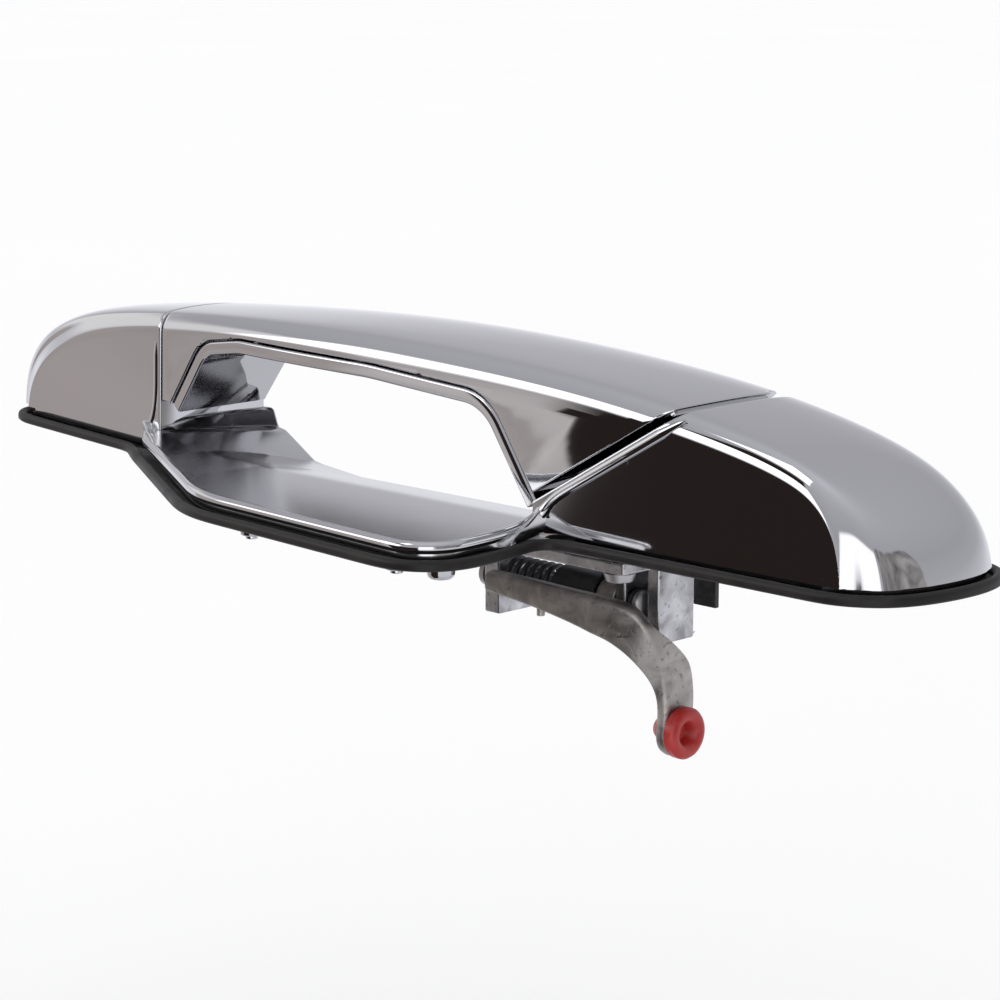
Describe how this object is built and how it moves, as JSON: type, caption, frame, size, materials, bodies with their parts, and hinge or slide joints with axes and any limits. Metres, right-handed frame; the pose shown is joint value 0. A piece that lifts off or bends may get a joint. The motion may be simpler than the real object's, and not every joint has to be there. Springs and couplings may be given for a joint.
{
  "type": "car door handle",
  "caption": "Chrome outside car door handle with a hinged pull bar over a finger scoop, a rubber base gasket, and a sprung bellcrank with a rod clip.",
  "frame": {"origin": "centre of the cast pad under the finger scoop, level with the door skin", "axes": "+Z out of the door, +X along the handle towards the bellcrank, -Y the side the fingers enter from"},
  "size_m": [0.3117, 0.0853, 0.0856],
  "materials": {
    "chrome": "bright mirror plating",
    "gasket_rubber": "moulded rubber, satin",
    "die_cast_zinc": "bright die casting",
    "raw_casting": "rough grey casting",
    "red_plastic": "moulded plastic, satin",
    "zinc_steel": "zinc plated steel",
    "black_plastic": "moulded plastic",
    "spring_wire": "oiled spring wire",
    "brass": "machined brass"
  },
  "bodies": {
    "base": {"housing": "chrome", "base_gasket": "gasket_rubber", "bracket": "die_cast_zinc", "pivot_pin": "zinc_steel", "pin_washer_left": "black_plastic", "pin_washer_right": "black_plastic", "pin_retainer": "zinc_steel", "hub_sleeve": "black_plastic", "bellcrank_spring": "spring_wire", "handle_spring": "spring_wire", "hinge_pin_left": "zinc_steel", "hinge_pin_right": "zinc_steel", "bracket_screw_left": "zinc_steel", "bracket_screw_right": "zinc_steel", "mount_insert_left": "brass", "mount_insert_right": "brass", "cover_tab": "black_plastic"},
    "handle": {"handle_cover": "chrome", "handle_liner": "chrome", "handle_arm_left": "zinc_steel", "handle_arm_right": "zinc_steel", "handle_screw_left": "zinc_steel", "handle_screw_right": "zinc_steel"},
    "crank": {"bellcrank": "raw_casting"},
    "clip": {"rod_clip": "red_plastic"}
  },
  "joints": [
    {"name": "handle_pull", "type": "hinge", "parent": "base", "child": "handle", "pos_m": [0, 0.038, 0.016], "axis": [-1, 0, 0], "range_deg": [0, 16], "stiffness_Nm_per_rad": 1, "springref_deg": -17.19},
    {"name": "bellcrank_turn", "type": "hinge", "parent": "base", "child": "crank", "pos_m": [0.064, 0.02, -0.014], "axis": [1, 0, 0], "range_deg": [0, 27.2], "stiffness_Nm_per_rad": 0.12, "springref_deg": -22.92},
    {"name": "rod_clip_swivel", "type": "hinge", "parent": "crank", "child": "clip", "pos_m": [0.0835, 0.0214, -0.0404], "axis": [1, 0, 0], "continuous": true}
  ],
  "couplings": [
    {"joint": "bellcrank_turn", "follows": "handle_pull", "ratio": 1.7}
  ]
}
